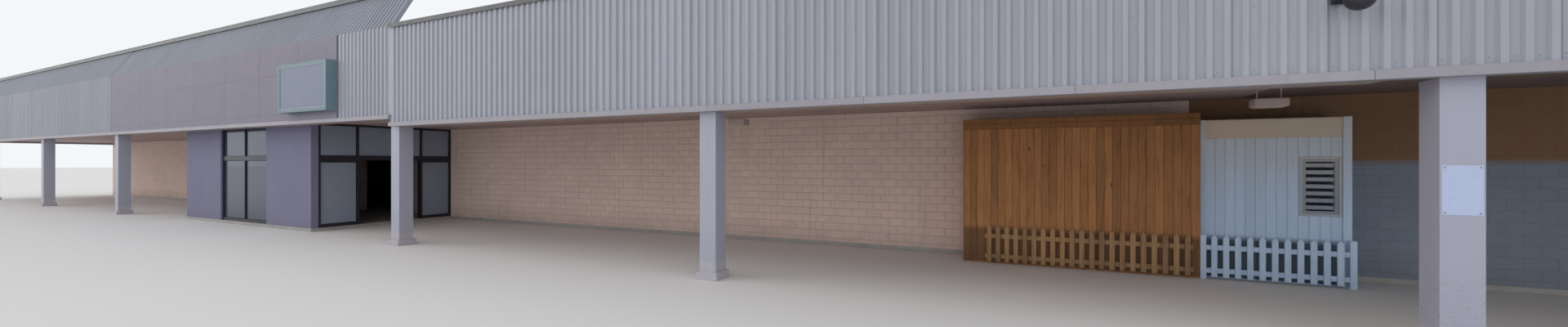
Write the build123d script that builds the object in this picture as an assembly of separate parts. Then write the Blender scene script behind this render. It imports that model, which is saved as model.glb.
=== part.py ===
"""Garden center frontage: a long store with a covered arcade, as a 1:2 scale model.

All sizes are the model's millimetres, half of the real building's. X runs along the front, Y into
the building and Z up. The column line lies on Y = 0 while the pieces are made, and export_node()
then moves the middle of the footprint to the origin.
"""

from build123d import *
from math import atan2, ceil, cos, degrees, floor, hypot, radians, sin, tan
import os

# Bay grid
bay_spacing = 5000
bay_count = 7
left_wing_bays = 2
entrance_bays = 2
end_overhang = 700

# Store shell
arcade_depth = 2425
store_depth = 9600
wall_thickness = 150
slab_thickness = 50
roof_underside = 2425
roof_thickness = 75
parapet_top = 2800
coping_height = 30
coping_overhang = 15
coping_joint = 5

# Arcade columns, beams and soffits
column_width = 180
plinth_width = 230
plinth_height = 75
near_clear_height = 1600
left_height_step = 100
beam_width = 150
beam_height = 225
soffit_above_near_beam = 160
soffit_thickness = 50
canopy_end_thickness = 60

# Ribbed front above the arcade
fascia_thickness = 60
fascia_top = 2950
rib_pitch = 91.5
rib_base_width = 50
rib_crest_width = 30
rib_depth = 19
trim_height = 60
trim_projection = 30
trim_fall = 8
cap_height = 25
cap_fall = 6
cap_overhang = 15
cap_sheet = 5
cap_leg = 30
screen_cap_leg = 75
step_left_of_column = 25

# Raised front over the entrance and the left wing
screen_rise = 670
screen_set_back = 365
brace_bar = 30
brace_foot_reach = 675
brace_head_drop = 85

# Plain sign panel, sign box and lamp
sign_panel_left_of_column = 1300
sign_box_width = 1360
sign_box_height = 725
sign_box_above_trim = 105
sign_box_depth = 150
sign_box_rim = 45
sign_box_recess = 12.5
lamp_left_of_column = 495
lamp_bottom = 1985
lamp_radius = 70
lamp_bands = 5
lamp_skirt = 45
lamp_skirt_taper = 8
lamp_reach = 110
lamp_plate = 160
lamp_plate_thickness = 10
lamp_arm = 35

# Entrance vestibule
vestibule_width = 4600
vestibule_front = 150
pier_width = 1450
pier_thickness = 100
frame_depth = 50
post_width = 30
base_rail = 50
top_rail = 30
door_height = 1100
header_height = 75
door_clear_width = 1020
glass_thickness = 10
inner_door_width = 1800
inner_door_height = 1200

# Sliding door leaves
leaf_overlap = 7.5
leaf_thickness = 25
leaf_stile = 35
leaf_bottom_rail = 80
leaf_top_rail = 40
leaf_travel = 500
running_gap = 5
track_depth = 45
hanger_length = 60
hanger_inset = 60
hanger_gap = 0.3

# Timber booth and white booth
booth_right_of_column = 2100
timber_booth_width = 2180
timber_booth_depth = 450
timber_booth_below_soffit = 160
white_booth_width = 1115
white_booth_depth = 350
white_booth_below_soffit = 230
booth_wall = 40
corner_board_width = 60
corner_board_depth = 15
booth_window_width = 250
booth_window_height = 500
booth_window_sill = 650
booth_window_inset = 85
window_frame = 25
louvre_count = 7
louvre_height = 35
louvre_depth = 15

# Picket panels in front of the booths
picket_width = 45
picket_pitch = 90
picket_thickness = 12.5
picket_height = 425
picket_point = 30
picket_foot = 25
picket_rail_height = 45
picket_rail_depth = 25
lower_rail_bottom = 60
upper_rail_bottom = 280
picket_post = 45
timber_picket_margin = 225

# Derived positions


def bay_line(number):
    """X of a column line, counted from the left end."""
    return (number - bay_count / 2) * bay_spacing


end_x = bay_line(bay_count) + end_overhang
left_clear_height = near_clear_height + left_height_step
soffit_underside = near_clear_height + soffit_above_near_beam
entrance_left_line = left_wing_bays
entrance_right_line = left_wing_bays + entrance_bays
booth_line = entrance_right_line + 1
lamp_line = booth_line + 1
step_x = bay_line(entrance_right_line) - step_left_of_column
fascia_back = -beam_width / 2
fascia_front = fascia_back - fascia_thickness
rib_front = fascia_front - rib_depth
trim_front = fascia_front - trim_projection
wall_front = arcade_depth
store_rear = wall_front + store_depth
roof_top = roof_underside + roof_thickness
canopy_end_top = fascia_top - cap_leg
screen_lean = degrees(atan2(screen_set_back, screen_rise))
screen_top = fascia_top + screen_rise
sign_panel_left = bay_line(entrance_left_line)
sign_panel_right = bay_line(entrance_right_line) - sign_panel_left_of_column
sign_box_bottom = left_clear_height + trim_height + sign_box_above_trim
sign_box_front = fascia_front - sign_box_depth
lamp_x = bay_line(lamp_line) - lamp_left_of_column
lamp_plate_front = rib_front - lamp_plate_thickness
lamp_y = lamp_plate_front - lamp_reach
vestibule_centre = bay_line(entrance_left_line + entrance_bays / 2)
vestibule_left = vestibule_centre - vestibule_width / 2
vestibule_right = vestibule_centre + vestibule_width / 2
side_front = vestibule_front + pier_thickness
side_length = wall_front - side_front
frame_inner_x = vestibule_right - frame_depth
door_top = slab_thickness + door_height
header_top = door_top + header_height
jamb_position = (side_length - door_clear_width) / 2
leaf_width = door_clear_width / 2 + leaf_overlap
booth_left = bay_line(booth_line) + booth_right_of_column
booth_joint = booth_left + timber_booth_width
timber_front = wall_front - timber_booth_depth
white_front = wall_front - white_booth_depth
front_most = min(sign_box_front, lamp_y - lamp_radius)
footprint_middle = (front_most + store_rear + coping_overhang) / 2


def block(x, y, z):
    """Box from three (low, high) pairs."""
    size = Box(x[1] - x[0], y[1] - y[0], z[1] - z[0])
    return Pos((x[0] + x[1]) / 2, (y[0] + y[1]) / 2, (z[0] + z[1]) / 2) * size


def run_along_x(x, *outline):
    """Straight piece between the X values of the pair, with a (Y, Z) outline."""
    face = make_face(Plane.YZ * Polyline(*outline, close=True))
    return Pos(x[0], 0, 0) * extrude(face, x[1] - x[0])


def export_node(name, *solids):
    """Move the solids of one node to the part's frame and write its STEP file."""
    placed = [Pos(0, -footprint_middle, 0) * solid for solid in solids]
    node = placed[0] if len(placed) == 1 else Compound(children=placed)
    export_step(node, "parts/" + name + ".step")


# Store shell


def store_shell():
    """Floor slab, four walls, flat roof and copings of the hollow store."""
    inner_end = end_x - wall_thickness
    rear_inner = store_rear - wall_thickness
    door_left = vestibule_centre - inner_door_width / 2
    door_right = vestibule_centre + inner_door_width / 2
    door_head = slab_thickness + inner_door_height
    front = (wall_front, wall_front + wall_thickness)
    whole_depth = (wall_front, store_rear)
    under_roof = (slab_thickness, roof_underside)
    parapet = (slab_thickness, parapet_top)

    export_node("store_floor", block((-end_x, end_x), whole_depth, (0, slab_thickness)))
    export_node("front_wall_left", block((-inner_end, door_left), front, under_roof))
    export_node("front_wall_right", block((door_right, inner_end), front, under_roof))
    export_node(
        "entrance_lintel", block((door_left, door_right), front, (door_head, roof_underside))
    )
    export_node("left_end_wall", block((-end_x, -inner_end), whole_depth, parapet))
    export_node("right_end_wall", block((inner_end, end_x), whole_depth, parapet))
    export_node("rear_wall", block((-inner_end, inner_end), (rear_inner, store_rear), parapet))
    export_node(
        "store_roof",
        block((-inner_end, inner_end), (wall_front, rear_inner), (roof_underside, roof_top)),
    )
    wall_copings(inner_end, rear_inner)


def wall_copings(inner_end, rear_inner):
    """Coping on the parapets, flush with the party faces, with an open joint at each rear corner."""
    level = (parapet_top, parapet_top + coping_height)
    rear = (rear_inner - coping_overhang, store_rear + coping_overhang)
    side_depth = (wall_front, rear[0] - coping_joint)
    inner = inner_end - coping_overhang
    export_node(
        "wall_copings",
        block((-end_x, end_x), rear, level),
        block((-end_x, -inner), side_depth, level),
        block((inner, end_x), side_depth, level),
    )


# Arcade


def column(x, height):
    """Square column with a low plinth."""
    shaft = Pos(x, 0, height / 2) * Box(column_width, column_width, height)
    plinth = Pos(x, 0, plinth_height / 2) * Box(plinth_width, plinth_width, plinth_height)
    return shaft + plinth


def arcade_frame():
    """Columns, edge beams, soffits, roof and end panels of the covered walk."""
    left_lines = range(0, entrance_left_line + 1)
    near_lines = range(entrance_right_line, bay_count + 1)
    inner_end = end_x - canopy_end_thickness
    beam = (fascia_back, beam_width / 2)
    behind_beam = (beam_width / 2, wall_front)
    under_canopy = (fascia_back, wall_front)
    soffit_z = (soffit_underside, soffit_underside + soffit_thickness)

    export_node("left_wing_columns", *[column(bay_line(i), left_clear_height) for i in left_lines])
    export_node("near_wing_columns", *[column(bay_line(i), near_clear_height) for i in near_lines])
    for wing, span, height in (
        ("left", (-inner_end, step_x), left_clear_height),
        ("near", (step_x, inner_end), near_clear_height),
    ):
        export_node("edge_beam_" + wing, block(span, beam, (height, height + beam_height)))
        export_node("soffit_" + wing, block(span, behind_beam, soffit_z))
    export_node(
        "canopy_roof", block((-inner_end, inner_end), under_canopy, (roof_underside, roof_top))
    )
    export_node(
        "canopy_ends",
        block((-end_x, -inner_end), under_canopy, (left_clear_height, canopy_end_top)),
        block((inner_end, end_x), under_canopy, (near_clear_height, canopy_end_top)),
    )


# Ribbed front


def ribbed_panel(x_low, x_high, height, thickness, depth):
    """Sheet with trapezoid ribs on its front, standing on Z = 0 with its back on Y = 0."""
    half_pitch = rib_pitch / 2
    first = ceil((x_low + half_pitch) / rib_pitch)
    last = floor((x_high - half_pitch) / rib_pitch)
    outline = [(x_low, 0), (x_low, -thickness)]
    for number in range(first, last + 1):
        middle = number * rib_pitch
        outline.append((middle - rib_base_width / 2, -thickness))
        outline.append((middle - rib_crest_width / 2, -thickness - depth))
        outline.append((middle + rib_crest_width / 2, -thickness - depth))
        outline.append((middle + rib_base_width / 2, -thickness))
    outline.append((x_high, -thickness))
    outline.append((x_high, 0))
    return extrude(make_face(Polyline(*outline, close=True)), height)


def fascia_panel(x_low, x_high, bottom):
    """Upright ribbed panel between the trim and the top of the front."""
    sheet = ribbed_panel(x_low, x_high, fascia_top - bottom, fascia_thickness, rib_depth)
    return Pos(0, fascia_back, bottom) * sheet


def leaning_panel(x_low, x_high):
    """Ribbed panel that leans back from the fold, cut level at the fold and at the top."""
    spare = fascia_thickness
    level = cos(radians(screen_lean))
    length = hypot(screen_rise, screen_set_back) + 2 * spare
    sheet = ribbed_panel(
        x_low, x_high, length, fascia_thickness * level, rib_depth * level
    )
    leaning = Pos(0, fascia_back, fascia_top) * Rot(-screen_lean, 0, 0) * Pos(0, 0, -spare) * sheet
    reach = (rib_front - spare, fascia_back + screen_set_back + spare)
    return leaning & block((x_low, x_high), reach, (fascia_top, screen_top))


def bottom_trim(x, bottom):
    """Trim under the ribbed panels, with a top that falls away in front of the ribs."""
    top = bottom + trim_height
    return run_along_x(
        x,
        (trim_front, bottom),
        (fascia_back, bottom),
        (fascia_back, top),
        (rib_front, top),
        (trim_front, top - trim_fall),
    )


def top_cap(x, top, set_back, leg, slope):
    """Folded cap over the head of a panel, its legs running down beside both faces."""
    front = rib_front - cap_overhang + set_back
    back = fascia_back + cap_overhang + set_back
    leg_shift = leg * slope
    return run_along_x(
        x,
        (front - leg_shift, top - leg),
        (front - leg_shift + cap_sheet, top - leg),
        (front + cap_sheet, top),
        (back - cap_sheet, top),
        (back - cap_sheet - leg_shift, top - leg),
        (back - leg_shift, top - leg),
        (back, top),
        (back, top + cap_height - cap_fall),
        (front, top + cap_height),
        (front, top),
    )


def front_panels():
    """Upright panels, leaning screens, bottom trims and top caps."""
    left_bottom = left_clear_height + trim_height
    near_bottom = near_clear_height + trim_height
    flat = (rib_front, fascia_back)

    export_node("fascia_near", fascia_panel(step_x, end_x, near_bottom))
    export_node(
        "fascia_left",
        fascia_panel(-end_x, sign_panel_left, left_bottom),
        fascia_panel(sign_panel_right, step_x, left_bottom),
    )
    export_node(
        "sign_panel",
        block((sign_panel_left, sign_panel_right), flat, (left_bottom, fascia_top)),
    )
    export_node("raised_screen_left", leaning_panel(-end_x, sign_panel_left))
    export_node("raised_screen_entrance", leaning_panel(sign_panel_left, step_x))
    export_node(
        "fascia_trims",
        bottom_trim((-end_x, step_x), left_clear_height),
        bottom_trim((step_x, end_x), near_clear_height),
    )
    slope = tan(radians(screen_lean))
    export_node(
        "fascia_caps",
        top_cap((-end_x, step_x), screen_top, screen_set_back, screen_cap_leg, slope),
        top_cap((step_x, end_x), fascia_top, 0, cap_leg, 0),
    )


def screen_brace(x):
    """Closed steel frame from the roof up the back of the raised front."""
    head = screen_top - brace_head_drop
    head_y = fascia_back + (head - fascia_top) * tan(radians(screen_lean))
    outline = Polyline(
        (brace_foot_reach, roof_top),
        (head_y, head),
        (fascia_back, fascia_top),
        (fascia_back, roof_top),
        close=True,
    )
    face = make_face(outline)
    ring = face - offset(face, amount=-brace_bar, kind=Kind.INTERSECTION)
    flat_plate = extrude(ring, brace_bar)
    return Pos(x - brace_bar / 2, 0, 0) * Rot(0, 90, 0) * Rot(0, 0, 90) * flat_plate


def screen_braces():
    """A brace at every half bay behind the raised front, clear of its right end."""
    half_bay = bay_spacing / 2
    count = 2 * entrance_right_line
    export_node("screen_braces", *[screen_brace(bay_line(0) + i * half_bay) for i in range(count)])


def front_fittings():
    """Bare sign box on the sign panel and the dome lamp on the near wing."""
    top = sign_box_bottom + sign_box_height
    left = sign_panel_right - sign_box_width
    box = block((left, sign_panel_right), (sign_box_front, rib_front), (sign_box_bottom, top))
    recess = block(
        (left + sign_box_rim, sign_panel_right - sign_box_rim),
        (sign_box_front, sign_box_front + sign_box_recess),
        (sign_box_bottom + sign_box_rim, top - sign_box_rim),
    )
    export_node("sign_box", box - recess)

    dome_z = lamp_bottom + lamp_radius
    half_plate = lamp_plate / 2
    plate = block(
        (lamp_x - half_plate, lamp_x + half_plate),
        (lamp_plate_front, rib_front),
        (dome_z, dome_z + lamp_plate),
    )
    arm = block(
        (lamp_x - lamp_arm / 2, lamp_x + lamp_arm / 2),
        (lamp_y, lamp_plate_front),
        (dome_z + lamp_arm / 2, dome_z + 3 * lamp_arm / 2),
    )
    export_node("fascia_lamp", plate + arm + Pos(lamp_x, lamp_y, dome_z) * lamp_bowl())


def lamp_bowl():
    """Round bowl turned about Z, its rim on Z = 0 and a tapered skirt above it."""
    band = radians(90) / lamp_bands
    outline = [(0, lamp_skirt), (0, -lamp_radius)]
    for number in range(1, lamp_bands + 1):
        angle = number * band
        outline.append((lamp_radius * sin(angle), -lamp_radius * cos(angle)))
    outline.append((lamp_radius - lamp_skirt_taper, lamp_skirt))
    return revolve(make_face(Plane.XZ * Polyline(*outline, close=True)), Axis.Z)


# Entrance vestibule


def glazed_frame(length, bottom, top, posts, rails):
    """Upright frame along X from X = 0 and its panes, from post and rail (low, high) pairs."""
    frame = block((0, length), (0, frame_depth), (bottom, top))
    middle = (frame_depth - glass_thickness) / 2
    panes = []
    for left, right in zip(posts, posts[1:]):
        for lower, upper in zip(rails, rails[1:]):
            across = (left[1], right[0])
            upright = (lower[1], upper[0])
            frame -= block(across, (0, frame_depth), upright)
            panes.append(block(across, (middle, middle + glass_thickness), upright))
    return frame, panes


def post_at(low):
    """(low, high) pair of a post that starts at low."""
    return (low, low + post_width)


def post_row(length, middles):
    """Posts at both ends of a frame and at the given places between."""
    return [post_at(0)] + [post_at(place) for place in middles] + [post_at(length - post_width)]


def along_side(x_outer, solid):
    """Turn a frame made along X so that it runs back along Y, its depth lying before x_outer."""
    return Pos(x_outer, side_front, 0) * Rot(0, 0, 90) * solid


def vestibule():
    """Floor, pale front piers, glazed front and sides, and the sliding door's surround."""
    floor_x = (vestibule_left, vestibule_right)
    export_node(
        "vestibule_floor", block(floor_x, (vestibule_front, wall_front), (0, slab_thickness))
    )
    pier_y = (vestibule_front, side_front)
    upright = (slab_thickness, soffit_underside)
    left_pier = (vestibule_left, vestibule_left + pier_width)
    right_pier = (vestibule_right - pier_width, vestibule_right)
    export_node("vestibule_piers", block(left_pier, pier_y, upright), block(right_pier, pier_y, upright))

    base = (slab_thickness, slab_thickness + base_rail)
    header = (door_top, header_top)
    head = (soffit_underside - top_rail, soffit_underside)
    glass = []

    window_width = right_pier[0] - left_pier[1]
    middle_post = (window_width - post_width) / 2
    frame, panes = glazed_frame(
        window_width, slab_thickness, soffit_underside,
        post_row(window_width, [middle_post]), [base, header, head],
    )
    place = Pos(left_pier[1], vestibule_front + (pier_thickness - frame_depth) / 2, 0)
    export_node("front_window_frame", place * frame)
    glass += [place * pane for pane in panes]

    jambs = [jamb_position - post_width, jamb_position + door_clear_width]
    side_posts = [jambs[0], (side_length - post_width) / 2, jambs[1]]
    frame, panes = glazed_frame(
        side_length, slab_thickness, soffit_underside,
        post_row(side_length, side_posts), [base, header, head],
    )
    left_place = vestibule_left + frame_depth
    export_node("left_side_frame", along_side(left_place, frame))
    glass += [along_side(left_place, pane) for pane in panes]

    frame, panes = glazed_frame(
        side_length, door_top, soffit_underside,
        post_row(side_length, jambs), [header, head],
    )
    track = block(
        (0, side_length),
        (frame_depth, frame_depth + track_depth),
        (door_top, header_top),
    )
    export_node("door_header", along_side(vestibule_right, frame + track))
    glass += [along_side(vestibule_right, pane) for pane in panes]

    sidelights = []
    for shift in (0, side_length - jamb_position):
        frame, panes = glazed_frame(
            jamb_position, slab_thickness, door_top,
            post_row(jamb_position, []), [base, (door_top - post_width, door_top)],
        )
        sidelights.append(along_side(vestibule_right, Pos(shift, 0, 0) * frame))
        glass += [along_side(vestibule_right, Pos(shift, 0, 0) * pane) for pane in panes]
    export_node("sidelight_frames", *sidelights)
    export_node("vestibule_glass", *glass)


def door_leaves():
    """Two leaves hung under the track on the right-hand side, open behind the sidelights."""
    bottom = slab_thickness + running_gap
    top = door_top - running_gap
    hanger_z = (top, door_top - hanger_gap)
    meeting = side_front + side_length / 2
    leaf_x = (frame_inner_x - running_gap - leaf_thickness, frame_inner_x - running_gap)
    closed_front = meeting - running_gap / 2 - leaf_width
    closed_rear = meeting + running_gap / 2
    for name, start in (
        ("front", closed_front - leaf_travel),
        ("rear", closed_rear + leaf_travel),
    ):
        leaf = block(leaf_x, (start, start + leaf_width), (bottom, top))
        pane_y = (start + leaf_stile, start + leaf_width - leaf_stile)
        pane_z = (bottom + leaf_bottom_rail, top - leaf_top_rail)
        pane_x = (
            leaf_x[0] + (leaf_thickness - glass_thickness) / 2,
            leaf_x[0] + (leaf_thickness + glass_thickness) / 2,
        )
        frame = leaf - block(leaf_x, pane_y, pane_z)
        for hanger in (start + hanger_inset, start + leaf_width - hanger_inset - hanger_length):
            frame += block(leaf_x, (hanger, hanger + hanger_length), hanger_z)
        export_node("door_leaf_" + name, frame)
        export_node("door_glass_" + name, block(pane_x, pane_y, pane_z))


# Booths under the near canopy


def picket(x, y_front, height):
    """Flat picket with a pointed head."""
    half = picket_width / 2
    outline = Polyline(
        (x - half, picket_foot),
        (x + half, picket_foot),
        (x + half, height - picket_point),
        (x, height),
        (x - half, height - picket_point),
        close=True,
    )
    board = extrude(make_face(outline), picket_thickness)
    return Pos(0, y_front + picket_thickness, 0) * Rot(90, 0, 0) * board


def picket_panel(x_low, x_high, y_front, rail_low, rail_high):
    """Row of pickets on two rails that run from rail_low to rail_high."""
    rail_y = (y_front + picket_thickness, y_front + picket_thickness + picket_rail_depth)
    panel = block(
        (rail_low, rail_high), rail_y, (lower_rail_bottom, lower_rail_bottom + picket_rail_height)
    )
    panel += block(
        (rail_low, rail_high), rail_y, (upper_rail_bottom, upper_rail_bottom + picket_rail_height)
    )
    span = x_high - x_low - picket_width
    count = floor(span / picket_pitch)
    first = x_low + picket_width / 2 + (span - count * picket_pitch) / 2
    for number in range(count + 1):
        panel += picket(first + number * picket_pitch, y_front, picket_height)
    return panel


def timber_booth():
    """Boarded timber front, its two ends and the picket panel fixed to the front."""
    front_y = (timber_front, timber_front + booth_wall)
    behind = (front_y[1], wall_front)
    upright = (0, soffit_underside - timber_booth_below_soffit)
    export_node("timber_booth_front", block((booth_left, booth_joint), front_y, upright))
    export_node(
        "timber_booth_ends",
        block((booth_left, booth_left + booth_wall), behind, upright),
        block((booth_joint - booth_wall, booth_joint), behind, upright),
    )
    panel_depth = picket_thickness + picket_rail_depth
    left = booth_left + timber_picket_margin
    right = booth_joint - corner_board_width
    export_node(
        "timber_pickets", picket_panel(left, right, timber_front - panel_depth, left, right)
    )


def white_booth():
    """White boarded front with a louvred window, its end wall and a picket panel before it."""
    right = booth_joint + white_booth_width
    front_y = (white_front, white_front + booth_wall)
    upright = (0, soffit_underside - white_booth_below_soffit)
    window_right = right - booth_window_inset
    window_x = (window_right - booth_window_width, window_right)
    window_z = (booth_window_sill, booth_window_sill + booth_window_height)
    front = block((booth_joint, right), front_y, upright)
    board_y = (white_front - corner_board_depth, white_front)
    front += block((booth_joint, booth_joint + corner_board_width), board_y, upright)
    front += block((right - corner_board_width, right), board_y, upright)
    export_node("white_booth_front", front - block(window_x, front_y, window_z))
    end_x_pair = (right - booth_wall, right)
    export_node("white_booth_end", block(end_x_pair, (front_y[1], wall_front), upright))
    export_node("white_booth_window", louvred_window(window_x, front_y, window_z))

    post_y = (timber_front, timber_front + picket_post)
    rail_front = timber_front + picket_post / 2 - picket_thickness - picket_rail_depth / 2
    post_z = (0, picket_height)
    left_post = (booth_joint, booth_joint + picket_post)
    right_post = (right - picket_post, right)
    panel = picket_panel(left_post[1], right_post[0], rail_front, left_post[1], right_post[0])
    panel += block(left_post, post_y, post_z)
    panel += block(right_post, post_y, post_z)
    export_node("white_pickets", panel)


def louvred_window(x, y, z):
    """Frame with level louvres set in the white booth's front."""
    inner_x = (x[0] + window_frame, x[1] - window_frame)
    inner_z = (z[0] + window_frame, z[1] - window_frame)
    window = block(x, y, z) - block(inner_x, y, inner_z)
    spacing = (inner_z[1] - inner_z[0]) / louvre_count
    middle_y = (y[0] + y[1]) / 2
    louvre_y = (middle_y - louvre_depth / 2, middle_y + louvre_depth / 2)
    for number in range(louvre_count):
        middle_z = inner_z[0] + (number + 0.5) * spacing
        level = (middle_z - louvre_height / 2, middle_z + louvre_height / 2)
        window += block(inner_x, louvre_y, level)
    return window


os.makedirs("parts", exist_ok=True)
store_shell()
arcade_frame()
front_panels()
screen_braces()
front_fittings()
vestibule()
door_leaves()
timber_booth()
white_booth()
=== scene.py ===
"""Dressing of the garden center frontage: finishes, boards, fixings, fittings and a plain stage.

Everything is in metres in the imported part's frame. The part is a 1:2 scale model, so real() turns
the real building's millimetres into the model's metres.
"""

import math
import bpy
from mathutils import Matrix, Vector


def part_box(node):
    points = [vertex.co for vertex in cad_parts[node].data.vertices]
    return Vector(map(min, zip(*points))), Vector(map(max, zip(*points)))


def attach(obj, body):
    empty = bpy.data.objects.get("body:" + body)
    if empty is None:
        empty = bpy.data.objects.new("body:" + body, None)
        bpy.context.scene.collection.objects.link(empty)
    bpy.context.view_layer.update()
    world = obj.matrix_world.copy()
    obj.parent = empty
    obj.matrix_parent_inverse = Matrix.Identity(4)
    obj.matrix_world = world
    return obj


bl_info = {
    "name": "Garden center frontage",
    "version": (1, 0, 0),
    "blender": (4, 5, 0),
    "location": "View3D > Sidebar > Frontage",
    "description": "Finishes, boards and fittings of a garden center with a ribbed metal front",
    "category": "Object",
}

from functools import partial

import bmesh
import bpy
from bpy.props import FloatProperty, FloatVectorProperty, PointerProperty
from mathutils import Matrix, Vector

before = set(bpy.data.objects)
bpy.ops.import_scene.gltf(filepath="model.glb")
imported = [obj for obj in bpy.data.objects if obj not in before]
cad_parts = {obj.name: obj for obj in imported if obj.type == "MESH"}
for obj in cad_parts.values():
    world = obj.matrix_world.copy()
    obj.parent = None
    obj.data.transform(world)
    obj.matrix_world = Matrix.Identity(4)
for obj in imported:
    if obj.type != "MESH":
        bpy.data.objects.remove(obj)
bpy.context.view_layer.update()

MODEL_SCALE = 0.5
BUILDING = "building"
FRONT = Vector((0, -1, 0))
UP = Vector((0, 0, 1))
COPING_GREY = "#8b8883"

# The photo's camera: its place in the model, and its lens in pixels of the photo's width
CAMERA_PLACE = (10.335, -10.265)
PHOTO_WIDTH = 1920
FOCAL_LENGTH = 656.1
HORIZON_SHIFT = -2.1


def real(millimetres):
    """Real millimetres as the model's metres."""
    return millimetres / 1000 * MODEL_SCALE


PICKET_PITCH = real(180)
END_BOARD_PITCH = real(146)


def linear(colour):
    """Linear RGBA of an sRGB hex colour. A colour setting is linear already."""
    if not isinstance(colour, str):
        return tuple(colour)
    channels = [int(colour[i:i + 2], 16) / 255 for i in (1, 3, 5)]
    values = [c / 12.92 if c <= 0.04045 else ((c + 0.055) / 1.055) ** 2.4 for c in channels]
    return (*values, 1.0)


def colour_setting(name, description, colour):
    """Colour that a user would change."""
    return FloatVectorProperty(
        name=name, description=description, subtype="COLOR", size=4, min=0, max=1,
        default=linear(colour),
    )


def length_setting(name, description, millimetres):
    """Length in the model's metres, given by the real one."""
    return FloatProperty(
        name=name, description=description, unit="LENGTH", min=0, default=real(millimetres)
    )


class MetalFrontSettings(bpy.types.PropertyGroup):
    """Sizes and colours of the ribbed front, its trims and the sign panel."""

    rib_pitch: length_setting("Rib pitch", "Spacing of the ribs", 183)
    rib_depth: length_setting("Rib depth", "Height of a rib over the flat", 38)
    sheet_width: length_setting("Sheet width", "Cover width of one ribbed sheet", 915)
    flashing_length: length_setting("Flashing length", "Length of one piece of trim or cap", 3050)
    screw_radius: length_setting("Screw radius", "Radius of a screw's washer", 9)
    ribbed: colour_setting("Ribbed sheet", "Coated ribbed steel", "#a5a8b1")
    screen: colour_setting("Raised screens", "Older coated ribbed steel", "#8b909b")
    panel: colour_setting("Sign panel", "Coated flat panel behind the bare sign", "#7e7a8a")
    trim: colour_setting("Trim", "Coated flashing under the sheets", "#9e9ba2")
    cap: colour_setting("Cap", "Coated flashing on top of the sheets", "#57585a")
    sign_face: colour_setting("Sign face", "Opal acrylic of the bare sign box", "#7f879a")
    sign_case: colour_setting("Sign case", "Painted case of the sign box", "#6e868f")


class MasonrySettings(bpy.types.PropertyGroup):
    """Sizes and colours of the block walls, columns and piers."""

    block_length: length_setting("Block length", "Length of a block with its joint", 400)
    block_height: length_setting("Block height", "Height of a course with its joint", 200)
    mortar_width: length_setting("Joint width", "Width of a mortar joint", 10)
    wall: colour_setting("Wall paint", "Masonry paint on the blocks", "#e4cdc0")
    # Past the white booth the wall is brown over grey: partly its own paint, partly painted shade
    wall_upper: colour_setting("Far wall paint", "Brown paint from the white booth on", "#84654b")
    wall_lower: colour_setting("Far wall base", "Grey paint below the brown", "#838e9c")
    column: colour_setting("Column paint", "Gloss paint on the columns", "#a9abba")
    pier: colour_setting("Pier render", "Painted render of the entrance piers", "#7e7d94")
    concrete: colour_setting("Concrete", "Trowelled floor slab", "#a5a29b")
    membrane: colour_setting("Roof membrane", "Welded single-ply membrane", "#b6b5b0")
    # The pale soffit and beam colours are painted bounce light; the dark ones are the plain brown
    # coat
    soffit: colour_setting("Soffit", "Coated soffit panels", "#b39d9b")
    beam: colour_setting("Edge beam", "Painted beam at the soffit's edge", "#a08e86")
    soffit_dark: colour_setting("Dark soffit", "Brown soffit from the white booth on", "#7a6a69")
    beam_dark: colour_setting("Dark edge beam", "Brown beam from the white booth on", "#64503f")


class TimberSettings(bpy.types.PropertyGroup):
    """Sizes and colours of the boarded booths."""

    board_width: length_setting("Board width", "Width of a fence board", 140)
    board_gap: length_setting("Board gap", "Gap between boards", 5)
    board_thickness: length_setting("Board thickness", "Thickness of a board", 16)
    stained: colour_setting("Stained boards", "Transparent stain on softwood", "#ad7848")
    picket: colour_setting("Timber pickets", "Lighter stained softwood", "#a3805a")
    white: colour_setting("White boards", "White vinyl boards", "#bdd4ec")
    cream: colour_setting("Cream boards", "Cream painted head boards", "#c5b0a1")


class GlazingSettings(bpy.types.PropertyGroup):
    """Sizes and colours of the entrance glazing."""

    bead_width: length_setting("Bead width", "Width of the gasket round a pane", 14)
    bead_depth: length_setting("Bead depth", "How far the gasket stands off the pane", 8)
    frame_colour: colour_setting("Frames", "Dark bronze anodised aluminium", "#3b3d48")
    # The pale glass colour is painted reflection and painted light from inside, on the share of
    # light that doesn't pass
    glass: colour_setting("Glass", "Tinted float glass", "#c8d6ea")
    film: colour_setting("Window film", "Grey film on the front window", "#64718c")


class StageSettings(bpy.types.PropertyGroup):
    """Floor, light and camera."""

    floor: colour_setting("Floor", "Plain pale floor", "#dcdad6")
    sky_level: FloatProperty(
        name="Sky level", description="Strength of the light from all round", min=0, default=1.05
    )
    key_level: FloatProperty(
        name="Key level", description="Strength of the soft key lamp", min=0, default=0.4
    )
    camera_turn: FloatProperty(
        name="Camera turn", description="Turn of the camera from the front's perpendicular",
        unit="ROTATION", default=math.radians(25.12),
    )
    camera_height: length_setting("Camera height", "Eye level of the photographer", 2250)


SETTINGS = {
    "frontage_metal": MetalFrontSettings,
    "frontage_masonry": MasonrySettings,
    "frontage_timber": TimberSettings,
    "frontage_glazing": GlazingSettings,
    "frontage_stage": StageSettings,
}


# Materials


def fill(tree, node, inputs):
    """Give inputs of a node their values, or a link where the value is a socket."""
    for key, value in dict(inputs).items():
        if isinstance(value, bpy.types.NodeSocket):
            tree.links.new(value, node.inputs[key])
        else:
            node.inputs[key].default_value = value


def add_node(tree, kind, inputs=(), output=None, **fields):
    """Add a node, set its fields, fill or link its inputs, and give it or one of its outputs."""
    made = tree.nodes.new(kind)
    for field, value in fields.items():
        setattr(made, field, value)
    fill(tree, made, inputs)
    return made if output is None else made.outputs[output]


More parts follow.
